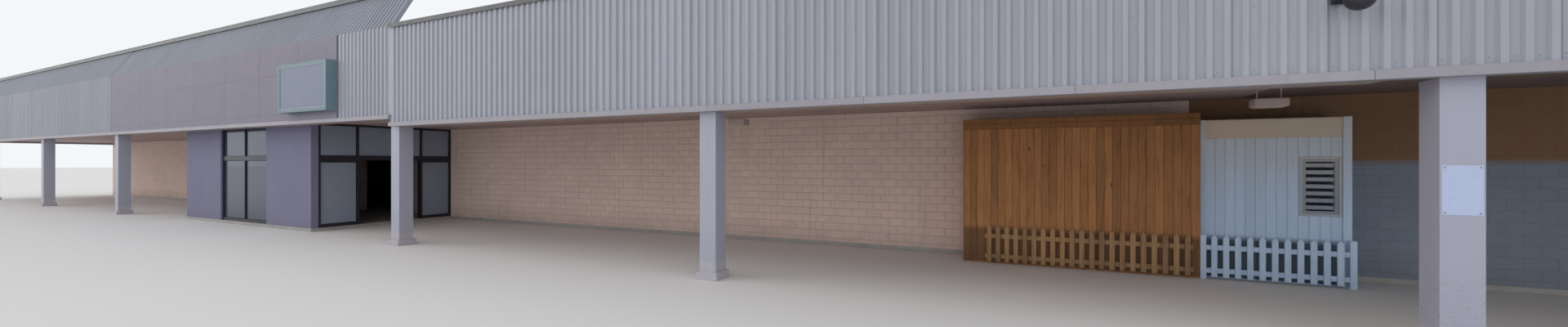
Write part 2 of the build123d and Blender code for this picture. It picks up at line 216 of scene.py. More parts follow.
class Finish:
    """A material laid up in layers on Object coordinates. Spacings and places on an axis are in
    the model's metres; widths, heights and the sizes of patterns are in real millimetres."""

    def __init__(self, name, colour, **sockets):
        self.material = bpy.data.materials.new(name)
        self.material.use_nodes = True
        self.tree = self.material.node_tree
        self.add = partial(add_node, self.tree)
        self.shader = self.tree.nodes["Principled BSDF"]
        fill(self.tree, self.shader, {key.replace("_", " "): sockets[key] for key in sockets})
        self.ends = {}
        self.colour = linear(colour)
        self.height = 0.0
        self.place = self.add("ShaderNodeTexCoord", output="Object")
        split = self.add("ShaderNodeSeparateXYZ", {0: self.place})
        self.axes = {axis: split.outputs[axis.upper()] for axis in "xyz"}
        self.axes["u"] = self.number("ADD", self.axes["x"], self.axes["y"])

    def number(self, operation, *values):
        """One step of arithmetic on sockets or numbers."""
        return self.add("ShaderNodeMath", dict(enumerate(values)), 0, operation=operation)

    def ramp(self, value, low, high):
        """0 below low, 1 above high and even between them."""
        ends = {"Value": value, "From Min": low, "From Max": high}
        return self.add("ShaderNodeMapRange", ends, 0)

    def spread(self, factor, low, high):
        """A number that runs from low to high with the factor."""
        return self.add("ShaderNodeMapRange", {"Value": factor, "To Min": low, "To Max": high}, 0)

    def cloud(self, size, z_scale=1, detail=3.0, seed=0.0):
        """Soft noise with features of about that size, taller with a low z_scale."""
        wide = 1 / real(size)
        steps = {"Location": (seed, seed, seed), "Scale": (wide, wide, z_scale / real(size))}
        scaled = self.add("ShaderNodeMapping", {"Vector": self.place, **steps}, 0)
        return self.add("ShaderNodeTexNoise", {"Vector": scaled, "Scale": 1.0, "Detail": detail}, 0)

    def count(self, axis, spacing, start):
        """How many spacings past the start a place is."""
        return self.number("DIVIDE", self.number("SUBTRACT", self.axes[axis], start), spacing)

    def joint(self, axis, spacing, width, start=0.0):
        """1 on evenly spaced lines across an axis, 0 between them."""
        turn = self.number("FRACT", self.count(axis, spacing, start))
        away = self.number("ABSOLUTE", self.number("SUBTRACT", turn, 0.5))
        share = real(width) / spacing
        return self.ramp(away, 0.5 - share, 0.5 - 0.3 * share)

    def each(self, axis, spacing, start=0.0):
        """A random number for each sheet or board between two joints."""
        whole = self.number("FLOOR", self.count(axis, spacing, start))
        return self.add("ShaderNodeTexWhiteNoise", {"W": whole}, "Value", noise_dimensions="1D")

    def between(self, axis, low, high, soft):
        """1 between two places on an axis, with a soft edge."""
        rise = self.ramp(self.axes[axis], low - soft, low + soft)
        return self.number("MULTIPLY", rise, self.ramp(self.axes[axis], high + soft, high - soft))

    def lay(self, factor, colour, strength=1.0):
        """Lay a colour over what is there, where the factor is 1."""
        amount = self.number("MULTIPLY", factor, strength)
        self.colour = self.add(
            "ShaderNodeMix", {0: amount, 6: self.colour, 7: linear(colour)}, 2, data_type="RGBA"
        )
        return self

    def shade(self, factor, low, high):
        """Multiply the colour by a number that runs from low to high with the factor."""
        level = self.spread(factor, low, high)
        self.colour = self.add(
            "ShaderNodeMix", {0: 1.0, 6: self.colour, 7: level}, 2,
            data_type="RGBA", blend_type="MULTIPLY",
        )
        return self

    def raised(self, factor, height):
        """Add a height where the factor is 1."""
        self.height = self.number("MULTIPLY_ADD", factor, real(height), self.height)
        return self

    def mottle(self, size, low, high):
        """Vary the tone in soft patches."""
        return self.shade(self.cloud(size), low, high)

    def wear(self, size, low, high, colour, strength, z_scale=1, detail=4.0, seed=0.0):
        """Lay a colour in patches or streaks, full where their noise passes high."""
        patches = self.ramp(self.cloud(size, z_scale, detail, seed), low, high)
        return self.lay(patches, colour, strength)

    def grain(self, size, height, z_scale=1, detail=1.0):
        """Raise the surface in soft bumps."""
        return self.raised(self.cloud(size, z_scale, detail), height)

    def grooves(self, axis, spacing, width, start, colour, strength, depth):
        """Darken and sink the lines of a joint."""
        lines = self.joint(axis, spacing, width, start)
        return self.lay(lines, colour, strength).raised(lines, -depth)

    def splash(self, top, size, colour, strength):
        """Patches of dirt on the foot, gone at the height top."""
        patches = self.number("MULTIPLY", self.ramp(self.axes["z"], top, 0.0), self.cloud(size))
        return self.lay(patches, colour, strength)

    def below(self, top, colour, strength):
        """Lay a colour on everything below a height."""
        return self.lay(self.ramp(self.axes["z"], top, top - real(120)), colour, strength)

    def past(self, start, colour, strength=1.0):
        """Lay a colour over everything past a place on the x axis."""
        return self.lay(self.ramp(self.axes["x"], start, start + real(20)), colour, strength)

    def rough(self, pattern, low, high):
        """Let the roughness run from low to high with a socket or in patches of a size."""
        if not isinstance(pattern, bpy.types.NodeSocket):
            pattern = self.cloud(pattern)
        self.ends["Roughness"] = self.spread(pattern, low, high)
        return self

    def done(self):
        """Join the layers to the shader and give the material."""
        self.ends["Base Color"] = self.colour
        if isinstance(self.height, bpy.types.NodeSocket):
            bumps = {"Height": self.height, "Distance": 1.0}
            self.ends["Normal"] = self.add("ShaderNodeBump", bumps, 0)
        fill(self.tree, self.shader, self.ends)
        return self.material


def coated_sheet(name, colour, settings, dark_above=None):
    """Roll-formed steel with a baked polyester coat: satin, each sheet a little different in tone,
    a lapped edge every sheet and faint rain streaks below the fixings."""
    sheet = settings.sheet_width
    finish = Finish(name, colour, Specular_IOR_Level=0.45)
    finish.shade(finish.each("x", sheet), 0.955, 1.03)
    finish.shade(finish.each("x", settings.rib_pitch), 0.985, 1.015)
    finish.mottle(2600, 0.94, 1.05)
    finish.wear(90, 0.54, 0.78, "#77757a", 0.22, 0.05)
    finish.grooves("x", sheet, 8, settings.rib_pitch / 3, "#6e6c74", 0.6, 1)
    if dark_above is not None:
        finish.lay(finish.ramp(finish.axes["z"], *dark_above), "#77797f", 0.5)
    return finish.grain(450, 3, 0.4).grain(3, 0.08).rough(700, 0.34, 0.5).done()


def flat_panel(name, colour):
    """Flat composite panel with a matt coat: even, with open joints at the sheet ends."""
    panel, first = real(2440), real(300)
    finish = Finish(name, colour, Specular_IOR_Level=0.4)
    finish.grooves("x", panel, 12, first, "#4c4746", 0.75, 4)
    finish.grooves("z", real(1220), 10, real(80), "#5b5654", 0.5, 3)
    finish.shade(finish.each("x", panel, first), 0.96, 1.03)
    finish.mottle(1500, 0.93, 1.05)
    finish.wear(120, 0.55, 0.8, "#6d6765", 0.25, 0.06)
    return finish.grain(900, 4).rough(500, 0.42, 0.58).done()


def folded_flashing(name, colour, length):
    """Folded coated flashing: smoother than the sheets, dusty, with a butt joint every length."""
    finish = Finish(name, colour, Specular_IOR_Level=0.5)
    finish.grooves("u", length, 6, 0.0, "#3d3c3e", 0.7, 2)
    finish.shade(finish.each("u", length), 0.95, 1.04)
    finish.wear(160, 0.5, 0.8, "#8a8278", 0.22, 0.25)
    return finish.grain(380, 1.5).rough(240, 0.3, 0.5).done()


def painted_blocks(name, settings, darkened_from=None):
    """Concrete blocks under two coats of masonry paint: the joints show as shallow grooves, the
    open grit of the block as fine pits, with splashed dirt near the ground. Past the given start
    the wall is darker, brown over a grey base: partly its own paint and partly painted shade of
    the deep end of the arcade."""
    finish = Finish(name, settings.wall, Specular_IOR_Level=0.3)
    # Past the start: brown over grey, partly the wall's own paint and partly painted shade
    if darkened_from is not None:
        finish.past(darkened_from, settings.wall_lower)
        upper = finish.ramp(finish.axes["z"], real(2190), real(2310))
        finish.past(darkened_from, settings.wall_upper, upper)
    face = finish.add("ShaderNodeCombineXYZ", {0: finish.axes["u"], 1: finish.axes["z"]}, 0)
    joints = finish.add(
        "ShaderNodeTexBrick",
        {"Vector": face, "Color1": (0, 0, 0, 1), "Color2": (1, 1, 1, 1),
         "Mortar": (0.5, 0.5, 0.5, 1), "Scale": 1.0, "Mortar Size": settings.mortar_width,
         "Mortar Smooth": 0.3, "Brick Width": settings.block_length,
         "Row Height": settings.block_height},
    ).outputs
    finish.shade(joints["Color"], 0.965, 1.025)
    finish.mottle(1900, 0.9, 1.06)
    finish.lay(joints["Fac"], "#a08c80", 0.22).raised(joints["Fac"], -5)
    grit = finish.cloud(9, detail=4.0)
    finish.lay(finish.ramp(grit, 0.62, 0.75), "#8f7d70", 0.25).raised(grit, 2)
    finish.splash(real(650), 380, "#6f655e", 0.6)
    finish.wear(140, 0.56, 0.8, "#8f8075", 0.25, 0.07, seed=7.0)
    return finish.rough(grit, 0.72, 0.9).done()


def column_paint(name, colour, line):
    """Steel casing under gloss enamel: smooth with brush marks, scuffs at trolley height and a
    warmer repainted band at the foot."""
    finish = Finish(name, colour, Coat_Weight=0.15, Coat_Roughness=0.2)
    finish.mottle(800, 0.95, 1.03)
    finish.lay(finish.between("z", 0.0, line, real(8)), "#b9b4b6", 0.7)
    low = finish.between("z", real(60), real(950), real(150))
    finish.wear(60, 0.6, 0.68, "#5d5a5b", finish.number("MULTIPLY", low, 0.6), 5, 5.0)
    finish.wear(70, 0.55, 0.8, "#9a958e", 0.25, 0.06)
    return finish.grain(14, 0.5, 0.08, 2.0).rough(120, 0.3, 0.52).done()


def painted_render(name, colour):
    """Sand and cement render under matt paint: floated swirls and hairline cracks."""
    finish = Finish(name, colour, Specular_IOR_Level=0.3)
    finish.mottle(1100, 0.9, 1.05)
    cells = {"Vector": finish.place, "Scale": 1 / real(700)}
    edges = finish.add("ShaderNodeTexVoronoi", cells, 0, feature="DISTANCE_TO_EDGE")
    cracks = finish.ramp(edges, 0.008, 0.0)
    finish.lay(cracks, "#6f6469", 0.5).raised(cracks, -1)
    finish.splash(real(500), 300, "#6a6064", 0.6)
    sand = finish.cloud(5)
    return finish.raised(sand, 1.2).grain(160, 2, detail=2.0).rough(sand, 0.78, 0.92).done()


def trowelled_concrete(name, colour):
    """Power-trowelled slab: mottled grey, a little polished where people walk, sawn joints."""
    finish = Finish(name, colour)
    finish.mottle(1300, 0.85, 1.08)
    finish.wear(240, 0.5, 0.75, "#7b766d", 0.45, detail=6.0)
    for axis in "xy":
        finish.grooves(axis, real(4800), 6, 0.0, "#3f3c38", 0.8, 5)
    return finish.grain(7, 0.6, detail=3.0).rough(800, 0.4, 0.75).done()


def roof_membrane(name, colour):
    """White single-ply roofing: rolls lapped every two metres, dust settled in the low spots."""
    roll = real(1980)
    finish = Finish(name, colour)
    finish.raised(finish.joint("y", roll, 40), 1.5)
    finish.lay(finish.joint("y", roll, 8), "#84827b", 0.6)
    finish.lay(finish.joint("x", real(15000), 10, real(3700)), "#84827b", 0.5)
    dust = finish.cloud(2800, detail=6.0)
    finish.lay(finish.ramp(dust, 0.46, 0.7), "#a39d92", 0.4)
    finish.wear(500, 0.56, 0.72, "#8b857a", 0.2, detail=5.0, seed=3.0)
    return finish.grain(600, 5, detail=2.0).rough(dust, 0.7, 0.9).done()


def soffit_planks(name, colour, dark=None, dark_from=0.0):
    """Coated steel soffit planks: narrow grooves along the arcade, satin, brown past dark_from. The
    pale colour before it is painted bounce light.
    """
    plank, first = real(305), real(60)
    finish = Finish(name, colour, Specular_IOR_Level=0.4)
    if dark is not None:
        finish.past(dark_from, dark)
    finish.grooves("y", plank, 14, first, "#1d1512", 0.8, 8)
    finish.grooves("x", real(3660), 8, real(900), "#241a15", 0.7, 3)
    finish.shade(finish.each("y", plank, first), 0.9, 1.08)
    finish.mottle(1400, 0.85, 1.1)
    finish.wear(260, 0.6, 0.8, "#7d6a5a", 0.3, detail=5.0)
    return finish.rough(400, 0.42, 0.62).done()


def galvanised(name):
    """Hot-dip galvanised steel: crystals of zinc in light and dark greys, dull with age."""
    finish = Finish(name, "#9a9c9b", Metallic=0.85)
    cells = {"Vector": finish.place, "Scale": 1 / real(22)}
    spangle = finish.add("ShaderNodeTexVoronoi", cells, "Color")
    grey = finish.add("ShaderNodeSeparateColor", {0: spangle}, 0)
    finish.shade(grey, 0.82, 1.08).wear(90, 0.55, 0.75, "#c4c5c2", 0.4)
    return finish.rough(grey, 0.38, 0.6).done()


def satin_paint(name, colour, roughness, dirt="#4a4844", size=400, dark=None, dark_from=0.0):
    """Sprayed satin paint on metal: smooth, with dust in soft patches and faint orange peel, a
    second colour past dark_from."""
    finish = Finish(name, colour, Specular_IOR_Level=0.45)
    if dark is not None:
        finish.past(dark_from, dark)
    finish.mottle(size, 0.93, 1.05).wear(size / 4, 0.55, 0.8, dirt, 0.2, detail=5.0)
    return finish.grain(6, 0.15).rough(size / 2, roughness - 0.06, roughness + 0.1).done()


def anodised_aluminium(name, colour):
    """Bronze anodised aluminium: dark, drawn lengthwise, finger marks where hands reach."""
    finish = Finish(name, colour, Metallic=0.75)
    finish.grain(2.5, 0.1, 0.02).mottle(500, 0.85, 1.15)
    marks = finish.ramp(finish.cloud(70, detail=5.0), 0.56, 0.7)
    low = finish.between("z", real(1700), real(2400), real(200))
    return finish.rough(finish.number("MULTIPLY", marks, low), 0.32, 0.55).done()


def float_glass(name, colour, film, film_before):
    """Tinted float glass: clear and cool, very slightly wavy, with dust along the bottom, and a
    grey film on the panes that stand before film_before. The pale colour on the share of light
    that doesn't pass is painted reflection and painted light from inside."""
    # Part of the light doesn't pass: the pale glass colour on that share is painted reflection and
    # painted light from inside
    finish = Finish(name, colour, IOR=1.52, Transmission_Weight=0.62)
    foot = finish.ramp(finish.axes["z"], real(420), real(100))
    dust = finish.number("MULTIPLY", foot, finish.cloud(60))
    finish.grain(900, 0.6, detail=0.0).mottle(1200, 0.92, 1.02)
    finish.lay(finish.ramp(finish.axes["y"], film_before, film_before - real(10)), film)
    return finish.rough(dust, 0.02, 0.22).done()


def opal_acrylic(name, colour):
    """Opal acrylic sign face: milky, its gloss dulled by years of weather, dusty in streaks."""
    finish = Finish(
        name, colour, IOR=1.49, Subsurface_Weight=0.15, Specular_IOR_Level=0.35
    )
    finish.mottle(900, 0.95, 1.03).wear(90, 0.55, 0.8, "#9a9f9c", 0.15, 0.1)
    return finish.grain(700, 2, detail=0.0).rough(150, 0.38, 0.55).done()


def stained_board(name, colour, pitch, start, axis="x", picket_shade_top=0.0):
    """Stained softwood fence boards: each its own tone, dark late wood lines up the board, knots
    and a splashed foot, darker up to the given height as painted shade behind the pickets."""
    finish = Finish(name, colour, Specular_IOR_Level=0.35)
    tone = finish.each(axis, pitch, start)
    finish.shade(tone, 0.74, 1.16)
    shift = finish.add("ShaderNodeCombineXYZ", {2: finish.number("MULTIPLY", tone, 9.0)}, 0)
    own = finish.add("ShaderNodeVectorMath", {0: finish.place, 1: shift}, 0, operation="ADD")
    drawn, oval = [
        finish.add("ShaderNodeMapping", {"Vector": own, "Scale": (1, 1, z)}, 0) for z in (0.05, 0.4)
    ]
    lines = {"Vector": drawn, "Scale": 1 / real(24), "Detail": 4.0, "Distortion": 0.6}
    rings = finish.add("ShaderNodeTexNoise", lines, 0)
    late = finish.ramp(rings, 0.5, 0.72)
    finish.lay(late, "#6a4524", 0.6).raised(rings, 1.2)
    knots = finish.add("ShaderNodeTexVoronoi", {"Vector": oval, "Scale": 1 / real(330)}, 0)
    finish.lay(finish.ramp(knots, 0.07, 0.04), "#3a1c0c", 0.7)
    finish.wear(900, 0.52, 0.72, "#c79460", 0.35, 0.5)
    finish.splash(real(420), 160, "#5c4634", 0.7)
    # Painted shade behind the pickets, up to their top
    if picket_shade_top:
        finish.below(picket_shade_top, "#33261e", 0.65)
    return finish.rough(late, 0.62, 0.8).done()


def vinyl_board(name, colour, pitch, start, axis="x", picket_shade_top=0.0):
    """Extruded white vinyl: cool and clean with a soft sheen, grey dust toward the ground, darker
    up to the given height as painted shade behind the pickets."""
    finish = Finish(name, colour, Specular_IOR_Level=0.5)
    finish.shade(finish.each(axis, pitch, start), 0.93, 1.03)
    finish.mottle(900, 0.92, 1.04)
    finish.lay(finish.ramp(finish.axes["z"], real(1500), real(2900)), "#dccfb6", 0.45)
    finish.splash(real(700), 140, "#6f8298", 0.7)
    finish.wear(60, 0.56, 0.8, "#9aa3a6", 0.3, 0.08)
    # Painted shade behind the pickets, up to their top
    if picket_shade_top:
        finish.below(picket_shade_top, "#2b3a46", 0.85)
    return finish.grain(5, 0.2, 0.1, 2.0).rough(200, 0.35, 0.55).done()


def black_rubber(name):
    """Moulded gasket rubber: matt black, greyed by weather."""
    finish = Finish(name, "#1b1b1c", Specular_IOR_Level=0.3)
    return finish.wear(50, 0.5, 0.75, "#3c3c3d", 0.4).rough(20, 0.65, 0.85).done()


def coat_nodes(material, *names):
    """Put a material on every slot of the named CAD nodes."""
    for name in names:
        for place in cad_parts[name].material_slots:
            place.material = material


# Meshes


def block(low, high, bevel=0.0, made=None):
    """Box between two corners, in a new bmesh or added to one. Its edges are eased before it joins
    the rest, so that its corners come in the same order in every run."""
    low, high = Vector(low), Vector(high)
    place = Matrix.Translation((low + high) / 2) @ Matrix.Diagonal((*(high - low), 1))
    box = bmesh.new()
    bmesh.ops.create_cube(box, size=1.0, matrix=place)
    if bevel:
        bmesh.ops.bevel(
            box, geom=box.edges, offset=bevel, offset_type="OFFSET", segments=1, profile=0.5,
            affect="EDGES",
        )
    mesh = mesh_of(box, "box")
    made = bmesh.new() if made is None else made
    made.from_mesh(mesh)
    bpy.data.meshes.remove(mesh)
    return made


def runs_round(low, high, width, first, second):
    """Corners of four runs round a rectangle: those at the ends of the first axis go from end to
    end of the second, and the other two fit between them."""
    runs = []
    for axis in (first, second):
        for at_high in (False, True):
            run_low, run_high = low.copy(), high.copy()
            if axis == second:
                run_low[first] += width
                run_high[first] -= width
            if at_high:
                run_low[axis] = high[axis] - width
            else:
                run_high[axis] = low[axis] + width
            runs.append((run_low, run_high))
    return runs


def add_prism(made, sides, radius, start, axis, length, tip=1.0):
    """Prism or taper from a start point along an axis."""
    turn = Vector(axis).to_track_quat("Z", "Y").to_matrix().to_4x4()
    place = Matrix.Translation(Vector(start) + Vector(axis).normalized() * length / 2) @ turn
    bmesh.ops.create_cone(
        made, cap_ends=True, segments=sides, radius1=radius, radius2=radius * tip, depth=length,
        matrix=place,
    )


def mesh_of(made, name):
    """Mesh from a finished bmesh, its faces pointing out."""
    bmesh.ops.recalc_face_normals(made, faces=made.faces)
    mesh = bpy.data.meshes.new(name)
    made.to_mesh(mesh)
    made.free()
    return mesh


def seat(name, made, material, body=BUILDING):
    """Piece from a bmesh or mesh that rides on a body and its material."""
    mesh = mesh_of(made, name) if isinstance(made, bmesh.types.BMesh) else made
    piece = bpy.data.objects.new(name, mesh)
    bpy.context.scene.collection.objects.link(piece)
    mesh.materials.clear()
    mesh.materials.append(material)
    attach(piece, body)


def row_tree():
    """Geometry Nodes tree that sets a shape out in rows and columns, each a little out of place."""
    known = bpy.data.node_groups.get("set out in rows")
    if known:
        return known
    tree = bpy.data.node_groups.new("set out in rows", "GeometryNodeTree")
    add = partial(add_node, tree)
    for label, kind in (
        ("Shape", "Object"), ("Start", "Vector"), ("Columns", "Int"), ("Column Step", "Vector"),
        ("Rows", "Int"), ("Row Step", "Vector"), ("Out of Place", "Vector"), ("Seed", "Int"),
        ("Material", "Material"),
    ):
        tree.interface.new_socket(name=label, in_out="INPUT", socket_type="NodeSocket" + kind)
    tree.interface.new_socket(
        name="Geometry", in_out="OUTPUT", socket_type="NodeSocketGeometry"
    )
    given = add("NodeGroupInput").outputs
    across = {"Count": given["Columns"], "Offset": given["Column Step"]}
    column = add("GeometryNodeMeshLine", across, 0, mode="OFFSET")
    up = {"Count": given["Rows"], "Start Location": given["Start"], "Offset": given["Row Step"]}
    ranks = add("GeometryNodeMeshLine", up, 0, mode="OFFSET")
    grid = add("GeometryNodeInstanceOnPoints", {"Points": ranks, "Instance": column}, 0)
    points = add("GeometryNodeRealizeInstances", {0: grid}, 0)
    most = given["Out of Place"]
    least = add("ShaderNodeVectorMath", {0: most, "Scale": -1.0}, 0, operation="SCALE")
    shake = add(
        "FunctionNodeRandomValue", {"Min": least, "Max": most, "Seed": given["Seed"]}, 0,
        data_type="FLOAT_VECTOR",
    )
    moved = add("GeometryNodeSetPosition", {"Geometry": points, "Offset": shake}, 0)
    shape = add("GeometryNodeObjectInfo", {"Object": given["Shape"]}, "Geometry")
    placed = add("GeometryNodeInstanceOnPoints", {"Points": moved, "Instance": shape}, 0)
    solid = add("GeometryNodeRealizeInstances", {0: placed}, 0)
    coated = add("GeometryNodeSetMaterial", {0: solid, "Material": given["Material"]}, 0)
    add("NodeGroupOutput", {0: coated})
    return tree


def set_out(name, shape, material, start, columns, column_step, rows=1,
            row_step=(0, 0, 0), out_of_place=(0, 0, 0), seed=1):
    """Repeat a shape in rows with the tree and seat the result as one plain mesh."""
    pattern = bpy.data.objects.new(name + "_shape", mesh_of(shape, name + "_shape"))
    holder = bpy.data.objects.new(name + "_rows", bpy.data.meshes.new(name + "_rows"))
    bpy.context.scene.collection.objects.link(holder)
    tree = row_tree()
    rows_of = holder.modifiers.new("rows", "NODES")
    rows_of.node_group = tree
    values = {
        "Shape": pattern, "Start": start, "Columns": columns, "Column Step": column_step,
        "Rows": rows, "Row Step": row_step, "Out of Place": out_of_place, "Seed": seed,
        "Material": material,
    }
    for socket in tree.interface.items_tree:
        if socket.in_out == "INPUT":
            rows_of[socket.identifier] = values[socket.name]
    holder.update_tag()
    seen = bpy.context.evaluated_depsgraph_get()
    mesh = bpy.data.meshes.new_from_object(holder.evaluated_get(seen))
    holder.modifiers.remove(rows_of)
    bpy.data.objects.remove(holder)
    bpy.data.objects.remove(pattern)
    mesh.name = name
    if not mesh.polygons:
        raise RuntimeError(name + " came out empty")
    seat(name, mesh, material)


def steps_in(low, high, spacing, margin):
    """First place, count and even step that fill a length from end to end."""
    count = max(1, round((high - low - 2 * margin) / spacing))
    return low + margin, count + 1, (high - low - 2 * margin) / count


def screw_head(radius, turn=Matrix()):
    """Hexagon screw head on its washer, pointing out of the front."""
    made = bmesh.new()
    washer = radius * 0.3
    add_prism(made, 8, radius, (0, 0, 0), FRONT, washer, 0.85)
    add_prism(made, 6, radius * 0.6, FRONT * washer, FRONT, radius * 0.55, 0.9)
    bmesh.ops.transform(made, matrix=turn, verts=made.verts)
    return made


def plate(width, height, thickness, place=Matrix()):
    """Thin upright plate that faces the front, with its back on y = 0 until it is placed."""
    made = block((-width / 2, -thickness, 0), (width / 2, 0, height), thickness * 0.3)
    bmesh.ops.transform(made, matrix=place, verts=made.verts)
    return made


def loose_boxes(name):
    """Lowest and highest corner of each solid of a CAD node."""
    made = bmesh.new()
    made.from_mesh(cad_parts[name].data)
    bmesh.ops.remove_doubles(made, verts=made.verts, dist=1e-5)
    left = set(made.verts)
    boxes = []
    while left:
        group = [left.pop()]
        for vertex in group:
            for edge in vertex.link_edges:
                other = edge.other_vert(vertex)
                if other in left:
                    left.remove(other)
                    group.append(other)
        boxes.append([
            Vector(end(vertex.co[axis] for vertex in group) for axis in range(3))
            for end in (min, max)
        ])
    made.free()
    return sorted(boxes, key=lambda pair: tuple(round(v, 4) for v in pair[0]))


def screen_slope():
    """Run of the leaning screen for each metre of rise, and the matrix that leans a piece so."""
    low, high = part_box("raised_screen_left")
    flat_low, flat_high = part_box("sign_panel")
    slope = (high.y - low.y - (flat_high.y - flat_low.y)) / (high.z - low.z)
    return slope, Matrix.Rotation(-math.atan(slope), 4, "X")


class FrontageOperator:
    """What every operator of this add-on shares."""

    bl_options = {"REGISTER", "UNDO"}


class FRONTAGE_OT_masonry(FrontageOperator, bpy.types.Operator):
    """Finish walls, floors, columns and piers"""

    bl_idname = "frontage.masonry"
    bl_label = "Masonry and columns"

    def execute(self, context):
        settings = context.scene.frontage_masonry
        booth_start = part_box("white_booth_front")[0].x
        coat_nodes(
            painted_blocks("painted concrete block", settings),
            "front_wall_left", "entrance_lintel", "left_end_wall", "right_end_wall", "rear_wall",
        )
        # Past the white booth this wall is brown over grey: partly its own paint, partly painted
        # shade
        coat_nodes(
            painted_blocks("darker concrete block with painted shade", settings, booth_start), "front_wall_right"
        )
        coat_nodes(
            trowelled_concrete("trowelled concrete", settings.concrete),
            "store_floor", "vestibule_floor",
        )
        coat_nodes(
            column_paint("gloss enamel on steel casing", settings.column, real(330)),
            "left_wing_columns", "near_wing_columns",
        )
        coat_nodes(painted_render("painted render", settings.pier), "vestibule_piers")
        return {"FINISHED"}


class FRONTAGE_OT_metal_front(FrontageOperator, bpy.types.Operator):
    """Finish the ribbed sheets, sign panel, trims and caps"""

    bl_idname = "frontage.metal_front"
    bl_label = "Ribbed front"

    def execute(self, context):
        settings = context.scene.frontage_metal
        length = settings.flashing_length
        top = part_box("raised_screen_left")[1].z
        dark_above = (top - real(440), top - real(240))
        coat_nodes(
            coated_sheet("coated ribbed steel", settings.ribbed, settings),
            "fascia_near", "fascia_left",
        )
        coat_nodes(
            coated_sheet("weathered ribbed steel", settings.screen, settings, dark_above),
            "raised_screen_left", "raised_screen_entrance",
        )
        coat_nodes(flat_panel("coated flat panel", settings.panel), "sign_panel")
        coat_nodes(folded_flashing("pale coated flashing", settings.trim, length), "fascia_trims")
        coat_nodes(folded_flashing("dark coated flashing", settings.cap, length), "fascia_caps")
        coat_nodes(folded_flashing("coated coping", COPING_GREY, length), "wall_copings")
        coat_nodes(satin_paint("painted sign case", settings.sign_case, 0.4), "sign_box")
        coat_nodes(satin_paint("dark enamel lamp", "#2c2d33", 0.38), "fascia_lamp")
        return {"FINISHED"}


class FRONTAGE_OT_canopy(FrontageOperator, bpy.types.Operator):
    """Finish the soffits, beams, roofs and braces"""

    bl_idname = "frontage.canopy"
    bl_label = "Canopy and roofs"

    def execute(self, context):
        settings = context.scene.frontage_masonry
        # Soffits and beams take the pale colours as painted bounce light, the near ones up to
        # brown_from and the plain brown coat past it
        brown_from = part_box("white_booth_front")[0].x + real(800)
        coat_nodes(soffit_planks("soffit planks with painted bounce light", settings.soffit), "soffit_left")
        coat_nodes(
            soffit_planks(
                "soffit planks with painted bounce light up to the booth", settings.soffit, settings.soffit_dark, brown_from
            ),
            "soffit_near",
        )
        coat_nodes(
            roof_membrane("single-ply membrane", settings.membrane), "store_roof", "canopy_roof"
        )
        coat_nodes(satin_paint("painted beam with painted bounce light", settings.beam, 0.5), "edge_beam_left")
        coat_nodes(
            satin_paint(
                "painted beam with painted bounce light up to the booth", settings.beam, 0.5, dark=settings.beam_dark,
                dark_from=brown_from,
            ),
            "edge_beam_near",
        )
        coat_nodes(satin_paint("painted end panel", "#a39fa8", 0.5, size=1500), "canopy_ends")
        coat_nodes(galvanised("galvanised steel"), "screen_braces")
        return {"FINISHED"}


class FRONTAGE_OT_entrance(FrontageOperator, bpy.types.Operator):
    """Finish the entrance frames, panes and leaves"""

    bl_idname = "frontage.entrance"
    bl_label = "Entrance glazing"

    def execute(self, context):
        settings = context.scene.frontage_glazing
        window_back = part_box("front_window_frame")[1].y
        coat_nodes(
            anodised_aluminium("bronze anodised aluminium", settings.frame_colour),
            "front_window_frame", "left_side_frame", "door_header", "sidelight_frames",
            "door_leaf_front", "door_leaf_rear",
        )
        coat_nodes(
            float_glass("tinted float glass", settings.glass, settings.film, window_back),
            "vestibule_glass", "door_glass_front", "door_glass_rear",
        )
        return {"FINISHED"}


class FRONTAGE_OT_booths(FrontageOperator, bpy.types.Operator):
    """Finish the carcasses, pickets and window of the booths"""

    bl_idname = "frontage.booths"
    bl_label = "Booth carcasses"

    def execute(self, context):
        settings = context.scene.frontage_timber
        pitch = settings.board_width + settings.board_gap
        timber, pickets, white = [
            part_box(name)[0].x
            for name in ("timber_booth_front", "timber_pickets", "white_booth_front")
        ]
        coat_nodes(
            stained_board("stained softwood", settings.stained, pitch, timber),
            "timber_booth_front", "timber_booth_ends",
        )
        coat_nodes(
            stained_board("lighter stained softwood", settings.picket, PICKET_PITCH, pickets),
            "timber_pickets",
        )
        coat_nodes(
            vinyl_board("white vinyl", settings.white, pitch, white),
            "white_booth_front", "white_booth_end", "white_pickets",
        )
        coat_nodes(
            vinyl_board("grey vinyl louvre", "#8d98a6", real(80), white, "z"), "white_booth_window"
        )
        return {"FINISHED"}


